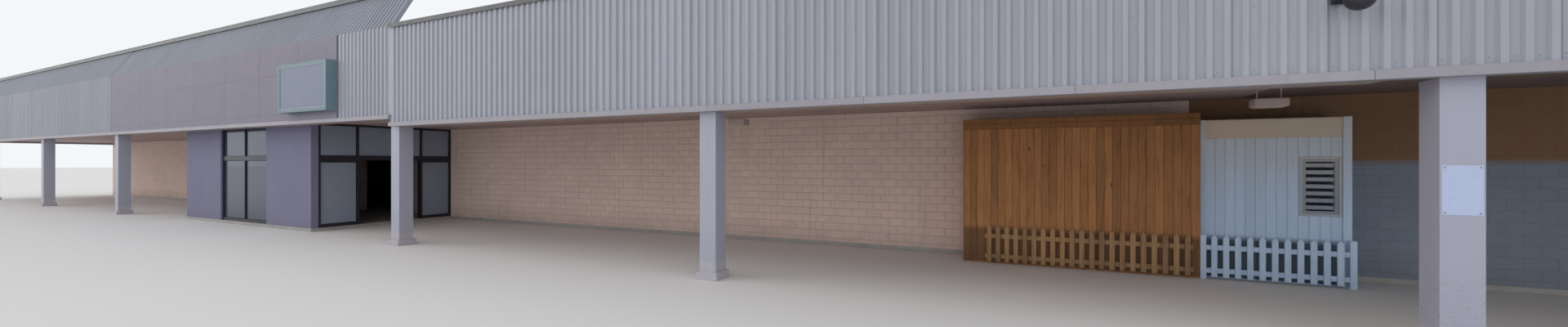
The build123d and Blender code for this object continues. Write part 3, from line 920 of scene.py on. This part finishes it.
class FRONTAGE_OT_screws(FrontageOperator, bpy.types.Operator):
    """Screw the ribbed sheets to their rails"""

    bl_idname = "frontage.screws"
    bl_label = "Sheet screws"

    def execute(self, context):
        settings = context.scene.frontage_metal
        coat = satin_paint("coated screw", settings.ribbed, 0.35, size=60)
        pitch, radius = settings.rib_pitch, settings.screw_radius
        margin, astray = real(70), real(4)

        def pans(low_x, high_x):
            """Place of the first pan between two ribs, and how many there are."""
            first = math.ceil(low_x / pitch) + 0.5
            last = math.floor(high_x / pitch) - 0.5
            return first * pitch, int(last - first) + 1

        for name in ("fascia_near", "fascia_left"):
            for number, (low, high) in enumerate(loose_boxes(name), 1):
                start, count = pans(low.x, high.x)
                rise = (high.z - low.z - 2 * margin) / 3
                set_out(
                    f"{name}_screws_{number}", screw_head(radius), coat,
                    (start, low.y + settings.rib_depth, low.z + margin), count, (pitch, 0, 0),
                    4, (0, 0, rise), (astray, 0, real(3)), number,
                )
        slope, lean = screen_slope()
        for name in ("raised_screen_left", "raised_screen_entrance"):
            low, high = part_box(name)
            start, count = pans(low.x, high.x)
            rise = (high.z - real(200) - (low.z + margin)) / 2
            set_out(
                name + "_screws", screw_head(radius, lean), coat,
                (start, low.y + settings.rib_depth + slope * margin, low.z + margin), count,
                (pitch, 0, 0), 3, (0, slope * rise, rise), (astray, 0, 0), 5,
            )
        return {"FINISHED"}


class FRONTAGE_OT_joint_covers(FrontageOperator, bpy.types.Operator):
    """Cover the butt joints of trims, caps and copings"""

    bl_idname = "frontage.joint_covers"
    bl_label = "Joint covers"

    def execute(self, context):
        settings = context.scene.frontage_metal
        length = settings.flashing_length
        width, thick = real(100), real(2)
        trim_share = 0.84
        pale, dark, grey = [
            folded_flashing(name + " joint cover", colour, length * 9)
            for name, colour in (
                ("pale", settings.trim), ("dark", settings.cap), ("coping", COPING_GREY)
            )
        ]

        def cover(name, shape, coat, slot, corner, low, high, axis=0):
            """Set covers out along an axis of the box that they cover."""
            place, stride = [*corner], [0.0, 0.0, 0.0]
            place[axis], count, stride[axis] = steps_in(low[axis], high[axis], length, width)
            set_out(name, shape, coat, place, count, stride)

        for number, (low, high) in enumerate(loose_boxes("fascia_trims"), 1):
            cover(
                f"trim_joint_covers_{number}", plate(width, (high.z - low.z) * trim_share, thick),
                pale, "trim_metal", low + UP * real(2), low, high,
            )
        raised, near = loose_boxes("fascia_caps")
        cover(
            "cap_joint_covers_near", plate(width, near[1].z - near[0].z, thick), dark, "cap_metal",
            near[0], *near,
        )
        slope, lean = screen_slope()
        leg = (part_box("raised_screen_left")[1].z - raised[0].z) * math.hypot(1, slope)
        cover(
            "cap_joint_covers_raised", plate(width, leg, thick, lean), dark, "cap_metal",
            raised[0], *raised,
        )
        for number, (low, high) in enumerate(loose_boxes("wall_copings"), 1):
            size = high - low
            axis = 0 if size.x > size.y else 1
            shape_low, shape_high = Vector(), Vector((size.x, size.y, thick))
            shape_low[axis], shape_high[axis] = -width / 2, width / 2
            cover(
                f"coping_joint_covers_{number}", block(shape_low, shape_high, thick * 0.3), grey,
                "coping_metal", (low.x, low.y, high.z), low, high, axis,
            )
        return {"FINISHED"}


class FRONTAGE_OT_sign_face(FrontageOperator, bpy.types.Operator):
    """Set the bare acrylic face and its retainer in the sign box"""

    bl_idname = "frontage.sign_face"
    bl_label = "Sign face"

    def execute(self, context):
        settings = context.scene.frontage_metal
        low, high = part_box("sign_box")
        rim, deep, lip, ease = real(90), real(25), real(30), real(3)
        face_low = Vector((low.x + rim, low.y + deep - real(8), low.z + rim))
        face_high = Vector((high.x - rim, low.y + deep, high.z - rim))
        seat(
            "sign_box_panel", block(face_low, face_high, ease),
            opal_acrylic("opal acrylic", settings.sign_face),
        )
        face_high.y = face_low.y
        face_low.y = low.y + real(4)
        made = bmesh.new()
        for run in runs_round(face_low, face_high, lip, 2, 0):
            block(*run, ease, made)
        seat(
            "sign_box_retainer", made,
            satin_paint("grey enamel retainer", "#8f9ba3", 0.35),
        )
        return {"FINISHED"}


class FRONTAGE_OT_lamps(FrontageOperator, bpy.types.Operator):
    """Trim the dome lamp and hang the lights under the near soffit"""

    bl_idname = "frontage.lamps"
    bl_label = "Lamps"

    light_across: length_setting("Light width", "Width of a soffit light", 300)
    light_along: length_setting("Light length", "Length of a soffit light", 440)
    light_height: length_setting("Light height", "Height of a soffit light", 130)
    stem_length: length_setting("Stem length", "How far a light hangs below the soffit", 240)

    def execute(self, context):
        low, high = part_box("fascia_lamp")
        radius = real(140)
        centre = Vector(((low.x + high.x) / 2, low.y + radius, low.z + radius))
        made = bmesh.new()
        profile = ((0.0, 0.0), (0.0, real(16)), (-real(9), real(16)), (-real(9), 0.0))
        sides = 40
        rings = []
        for turn in range(sides):
            angle = 2 * math.pi * turn / sides
            out = Vector((math.cos(angle), math.sin(angle), 0))
            rings.append([
                made.verts.new(centre + out * (radius + away) + UP * up) for away, up in profile
            ])
        for one, two in zip(rings, rings[1:] + rings[:1]):
            for a, b in ((0, 1), (1, 2), (2, 3), (3, 0)):
                made.faces.new((one[a], two[a], two[b], one[b]))
        for across in (-1, 1):
            for down in (real(280), real(40)):
                bolt = (centre.x + across * real(120), high.y - real(20), high.z - down)
                add_prism(made, 6, real(12), bolt, FRONT, real(10))
        rim = satin_paint("dark enamel rim", "#232429", 0.35, size=80)
        seat("lamp_rim", made, rim)

        half = Vector((self.light_along / 2, self.light_across / 2, 0))
        lens = half * 0.86
        top = UP * self.stem_length
        foot = top + UP * self.light_height
        made = block(-half - foot, half - top, real(14))
        block(-lens - foot - UP * real(14), lens - foot + UP * real(10), real(8), made)
        for across in (-0.35, 0.35):
            stem = (across * self.light_along, 0, 0)
            add_prism(made, 8, real(10), stem, -UP, self.stem_length + real(5))
            add_prism(made, 8, real(32), stem, -UP, real(12))
        low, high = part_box("soffit_near")
        columns = [(one.x + two.x) / 2 for one, two in loose_boxes("near_wing_columns")]
        set_out(
            "soffit_lights", made, satin_paint("pale enamel light", "#b9a9a4", 0.4, size=200),
            (columns[1] - real(860), (low.y + high.y) / 2, low.z),
            len(columns) - 1, (columns[1] - columns[0], 0, 0),
        )
        return {"FINISHED"}


class FRONTAGE_OT_brace_feet(FrontageOperator, bpy.types.Operator):
    """Set base plates and bolts under the screen braces"""

    bl_idname = "frontage.brace_feet"
    bl_label = "Brace feet"

    def execute(self, context):
        steel = galvanised("galvanised base plate")
        half, bolt_out, thick = real(90), real(65), real(12)
        for number, (low, high) in enumerate(loose_boxes("screen_braces"), 1):
            made = bmesh.new()
            x, z = (low.x + high.x) / 2, low.z
            for y in (low.y + half, high.y - half):
                block((x - half, y - half, z), (x + half, y + half, z + thick), real(3), made)
                for across in (-bolt_out, bolt_out):
                    for along in (-bolt_out, bolt_out):
                        bolt = (x + across, y + along, z + thick)
                        add_prism(made, 6, real(15), bolt, UP, thick)
                        add_prism(made, 8, real(8), bolt, UP, real(30))
            seat(f"brace_feet_{number}", made, steel)
        return {"FINISHED"}


class FRONTAGE_OT_column_plate(FrontageOperator, bpy.types.Operator):
    """Screw a bare enamel plate to the column by the booths"""

    bl_idname = "frontage.column_plate"
    bl_label = "Column plate"

    plate_width: length_setting("Plate width", "Width of the bare plate", 330)
    plate_height: length_setting("Plate height", "Height of the bare plate", 560)
    plate_bottom: length_setting("Plate bottom", "Height of its lower edge", 1650)

    def execute(self, context):
        booth_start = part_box("white_booth_front")[0].x
        columns = loose_boxes("near_wing_columns")
        low, high = next(pair for pair in columns if pair[0].x > booth_start)
        middle, face = (low.x + high.x) / 2, low.y + real(50)
        thick, inset = real(4), real(25)
        place = Matrix.Translation((middle, face, self.plate_bottom))
        seat(
            "column_plate", plate(self.plate_width, self.plate_height, thick, place),
            satin_paint("pale blue enamel plate", "#b9c6e2", 0.3, "#8a90a8", 250),
        )
        set_out(
            "column_plate_screws", screw_head(real(9)), galvanised("plated screw"),
            (middle - self.plate_width / 2 + inset, face - thick, self.plate_bottom + inset), 2,
            (self.plate_width - 2 * inset, 0, 0), 2, (0, 0, self.plate_height - 2 * inset),
        )
        return {"FINISHED"}


class FRONTAGE_OT_glazing_beads(FrontageOperator, bpy.types.Operator):
    """Fit gaskets round every pane"""

    bl_idname = "frontage.glazing_beads"
    bl_label = "Glazing gaskets"

    def execute(self, context):
        settings = context.scene.frontage_glazing
        depth = settings.bead_depth
        rubber = black_rubber("gasket rubber")
        for name, node, body in (
            ("entrance_gaskets", "vestibule_glass", BUILDING),
            ("front_leaf_gaskets", "door_glass_front", "front_leaf"),
            ("rear_leaf_gaskets", "door_glass_rear", "rear_leaf"),
        ):
            made = bmesh.new()
            for low, high in loose_boxes(node):
                thin = 0 if high.x - low.x < high.y - low.y else 1
                for side in (low[thin], high[thin] + depth):
                    low[thin], high[thin] = side - depth, side
                    for run in runs_round(low, high, settings.bead_width, 1 - thin, 2):
                        block(*run, made=made)
            seat(name, made, rubber, body)
        return {"FINISHED"}


class FRONTAGE_OT_door_fittings(FrontageOperator, bpy.types.Operator):
    """Fit pulls, pile strips, a threshold and a sensor to the sliding door"""

    bl_idname = "frontage.door_fittings"
    bl_label = "Door fittings"

    pull_length: length_setting("Pull length", "Length of a pull bar", 450)

    def execute(self, context):
        satin = anodised_aluminium("satin anodised aluminium", "#a8a8a6")
        rubber = black_rubber("pile strip")
        for side, body, inward in (("front", "front_leaf", -1), ("rear", "rear_leaf", 1)):
            low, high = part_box("door_leaf_" + side)
            edge = high.y if side == "front" else low.y
            middle = edge + inward * real(35)
            foot = real(900) + low.z
            made = bmesh.new()
            bar = (low.x - real(45), middle, foot)
            add_prism(made, 12, real(14), bar, UP, self.pull_length)
            for up in (real(50), self.pull_length - real(50)):
                fixing = (low.x, middle, foot + up)
                add_prism(made, 10, real(9), fixing, (-1, 0, 0), real(45))
                add_prism(made, 12, real(18), fixing, (-1, 0, 0), real(6))
            seat(f"leaf_pull_{side}", made, satin, body)
            near, far = sorted((edge, edge - inward * real(3)))
            strip = block(
                (low.x + real(18), near, low.z + real(10)),
                (low.x + real(32), far, high.z - real(120)),
            )
            seat(f"leaf_pile_{side}", strip, rubber, body)

        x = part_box("door_header")[1].x
        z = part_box("vestibule_floor")[1].z
        near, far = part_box("door_leaf_front")[1].y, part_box("door_leaf_rear")[0].y
        made = block((x - real(90), near, z), (x - real(6), far, z + real(5)), real(2))
        for groove in range(4):
            left = x - real(80) + groove * real(18)
            block((left, near, z + real(4)), (left + real(6), far, z + real(7)), made=made)
        seat("door_threshold", made, satin)
        middle, half, depth, tall = (near + far) / 2, real(120), real(45), real(60)
        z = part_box("door_leaf_front")[1].z + real(60)
        seat(
            "door_sensor",
            block((x, middle - half, z), (x + depth, middle + half, z + tall), real(12)),
            satin_paint("black moulded housing", "#19191b", 0.45, "#3a3a3a", 60),
        )
        return {"FINISHED"}


class FRONTAGE_OT_timber_boards(FrontageOperator, bpy.types.Operator):
    """Board the timber booth"""

    bl_idname = "frontage.timber_boards"
    bl_label = "Timber boards"

    def execute(self, context):
        settings = context.scene.frontage_timber
        width, thick = settings.board_width, settings.board_thickness
        pitch = width + settings.board_gap
        lift, ease, astray = real(30), real(4), real(1.5)
        low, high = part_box("timber_booth_front")
        top, seam, head = [high.z - real(down) for down in (4, 110, 230)]
        picket_low, picket_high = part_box("timber_pickets")
        # The boards are darker behind the pickets as painted shade
        set_out(
            "timber_booth_boards", block((0, -thick, lift), (width, 0, head), ease),
            stained_board(
                "stained fence board", settings.stained, pitch, low.x, picket_shade_top=picket_high.z
            ),
            (low.x + real(3), low.y, 0), int((high.x - low.x) / pitch),
            (pitch, 0, 0), out_of_place=(0, astray, 0), seed=3,
        )
        # The darker head board along the booth's top is painted shade of its shadow line
        made = block((low.x, low.y - thick * 1.6, head), (high.x, low.y, seam), real(5))
        block((low.x, low.y - thick * 1.1, seam), (high.x, low.y, top), real(5), made)
        seat(
            "timber_booth_head", made,
            stained_board("head board stained darker as painted shade", "#8f6239", real(3600), low.x),
        )
        end_high = loose_boxes("timber_booth_ends")[0][1]
        set_out(
            "timber_booth_end_boards",
            block((-thick, 0, lift), (0, width, end_high.z - real(8)), ease),
            stained_board("stained end board", settings.stained, pitch, low.y, "y"),
            (low.x, low.y, 0), int((end_high.y - low.y) / pitch),
            (0, pitch, 0), out_of_place=(astray, 0, 0), seed=4,
        )
        nail = bmesh.new()
        add_prism(nail, 6, real(7), (0, 0, 0), FRONT, real(2.5))
        picket = real(90)
        span = picket_high.x - picket_low.x - picket
        count = int(span / PICKET_PITCH) + 1
        start = picket_low.x + picket / 2 + (span - (count - 1) * PICKET_PITCH) / 2
        set_out(
            "picket_nails", nail, galvanised("galvanised nail"),
            (start, picket_low.y, real(165)), count, (PICKET_PITCH, 0, 0), 2, (0, 0, real(440)),
        )
        return {"FINISHED"}


class FRONTAGE_OT_white_boards(FrontageOperator, bpy.types.Operator):
    """Board the white booth round its window"""

    bl_idname = "frontage.white_boards"
    bl_label = "White boards"

    def execute(self, context):
        settings = context.scene.frontage_timber
        low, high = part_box("white_booth_front")
        window_low, window_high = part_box("white_booth_window")
        corner, casing, thick, ease = real(120), real(45), real(10), real(3)
        casing_low = Vector((window_low.x - casing, 0, window_low.z - casing))
        casing_high = Vector((window_high.x + casing, 0, window_high.z + casing))
        start, end = low.x + corner, high.x - corner
        face, foot, head = low.y + real(30), real(25), high.z - real(360)
        count = round((end - start) / real(150))
        pitch = (end - start) / count
        made = bmesh.new()
        for number in range(count):
            left = start + number * pitch + real(3)
            right = left + pitch - real(6)
            spans = [(foot, head)]
            if right > casing_low.x and left < casing_high.x:
                spans = [(foot, casing_low.z), (casing_high.z, head)]
            for bottom, top in spans:
                block((left, face - thick, bottom), (right, face, top), ease, made)
        # The boards are darker behind the pickets as painted shade
        seat(
            "white_booth_boards", made,
            vinyl_board(
                "white vinyl board", settings.white, pitch, start,
                picket_shade_top=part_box("white_pickets")[1].z,
            ),
        )
        seat(
            "white_booth_head",
            block((start, face - thick * 1.3, head), (end, face, high.z - real(6)), real(5)),
            vinyl_board("cream painted board", settings.cream, real(3600), low.x),
        )
        made = bmesh.new()
        casing_low.y, casing_high.y = face - thick * 2, face
        for run in runs_round(casing_low, casing_high, casing, 2, 0):
            block(*run, real(4), made)
        seat(
            "white_window_casing", made,
            vinyl_board("grey vinyl casing", "#a9b1b6", real(3600), low.x),
        )
        end_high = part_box("white_booth_end")[1]
        set_out(
            "white_booth_end_boards",
            block((0, 0, foot), (thick, real(140), end_high.z - real(8)), ease),
            vinyl_board("white vinyl end board", settings.white, END_BOARD_PITCH, low.y, "y"),
            (end_high.x, low.y + real(32), 0),
            int((end_high.y - low.y - real(30)) / END_BOARD_PITCH), (0, END_BOARD_PITCH, 0),
        )
        return {"FINISHED"}


class FRONTAGE_OT_stage(FrontageOperator, bpy.types.Operator):
    """Lay the floor and set the light and the camera"""

    bl_idname = "frontage.stage"
    bl_label = "Stage"

    floor_reach: FloatProperty(
        name="Floor reach", description="Half the side of the floor", unit="LENGTH", default=160.0
    )

    def execute(self, context):
        settings = context.scene.frontage_stage
        link = context.scene.collection.objects.link
        made = bmesh.new()
        bmesh.ops.create_grid(made, x_segments=1, y_segments=1, size=self.floor_reach)
        floor = bpy.data.objects.new("stage_floor", mesh_of(made, "stage_floor"))
        floor.location.z = -0.002
        link(floor)
        paint = Finish("plain pale floor", settings.floor, Roughness=0.85, Specular_IOR_Level=0.2)
        floor.data.materials.append(paint.mottle(6000, 0.98, 1.01).done())

        world = bpy.data.worlds.new("soft light all round")
        context.scene.world = world
        world.use_nodes = True
        world.node_tree.nodes.clear()
        add = partial(add_node, world.node_tree)
        ray = add("ShaderNodeLightPath").outputs
        seen = ray["Is Camera Ray"]
        for way in ("Is Glossy Ray", "Is Transmission Ray"):
            seen = add("ShaderNodeMath", {0: seen, 1: ray[way]}, 0, operation="MAXIMUM")
        light = add("ShaderNodeBackground", {0: linear("#f6f8ff"), 1: settings.sky_level}, 0)
        white = add("ShaderNodeBackground", {0: linear("#f4f7fa"), 1: 1.0}, 0)
        mixed = add("ShaderNodeMixShader", {0: seen, 1: light, 2: white}, 0)
        add("ShaderNodeOutputWorld", {0: mixed})

        lamp = bpy.data.lights.new("soft_key", "SUN")
        lamp.energy = settings.key_level
        lamp.angle = math.radians(35)
        lamp.color = linear("#fff6ea")[:3]
        key = bpy.data.objects.new("soft_key", lamp)
        key.rotation_euler = Vector((-0.8, -0.5, 0.35)).to_track_quat("Z", "Y").to_euler()
        link(key)

        lens = bpy.data.cameras.new("photo_camera")
        lens.sensor_width = 36.0
        lens.lens = FOCAL_LENGTH / PHOTO_WIDTH * lens.sensor_width
        lens.shift_y = HORIZON_SHIFT / PHOTO_WIDTH
        lens.clip_end = 500
        camera = bpy.data.objects.new("photo_camera", lens)
        camera.location = (*CAMERA_PLACE, settings.camera_height)
        camera.rotation_euler = (math.radians(90), 0, settings.camera_turn)
        link(camera)
        context.scene.camera = camera
        context.scene.view_settings.view_transform = "Standard"
        return {"FINISHED"}


OPERATORS = (
    FRONTAGE_OT_stage,
    FRONTAGE_OT_masonry,
    FRONTAGE_OT_metal_front,
    FRONTAGE_OT_canopy,
    FRONTAGE_OT_entrance,
    FRONTAGE_OT_booths,
    FRONTAGE_OT_screws,
    FRONTAGE_OT_joint_covers,
    FRONTAGE_OT_sign_face,
    FRONTAGE_OT_lamps,
    FRONTAGE_OT_brace_feet,
    FRONTAGE_OT_column_plate,
    FRONTAGE_OT_glazing_beads,
    FRONTAGE_OT_door_fittings,
    FRONTAGE_OT_timber_boards,
    FRONTAGE_OT_white_boards,
)


class FRONTAGE_PT_panel(bpy.types.Panel):
    """Lists the pieces of the frontage with their settings"""

    bl_idname = "FRONTAGE_PT_panel"
    bl_label = "Frontage"
    bl_space_type = "VIEW_3D"
    bl_region_type = "UI"
    bl_category = "Frontage"

    def draw(self, context):
        for name, group in SETTINGS.items():
            box = self.layout.box()
            for field in group.__annotations__:
                box.prop(getattr(context.scene, name), field)
        for operator in OPERATORS:
            self.layout.operator(operator.bl_idname)


CLASSES = (*SETTINGS.values(), *OPERATORS, FRONTAGE_PT_panel)


def register():
    """Make the classes known and hang the settings on the scene."""
    for made in CLASSES:
        bpy.utils.register_class(made)
    for name, group in SETTINGS.items():
        setattr(bpy.types.Scene, name, PointerProperty(type=group))


def unregister():
    """Take the settings and the classes away again."""
    for name in SETTINGS:
        delattr(bpy.types.Scene, name)
    for made in reversed(CLASSES):
        bpy.utils.unregister_class(made)


def main():
    """Build every piece in order."""
    register()
    for operator in OPERATORS:
        group, name = operator.bl_idname.split(".")
        getattr(getattr(bpy.ops, group), name)()


if __name__ == "__main__":
    main()
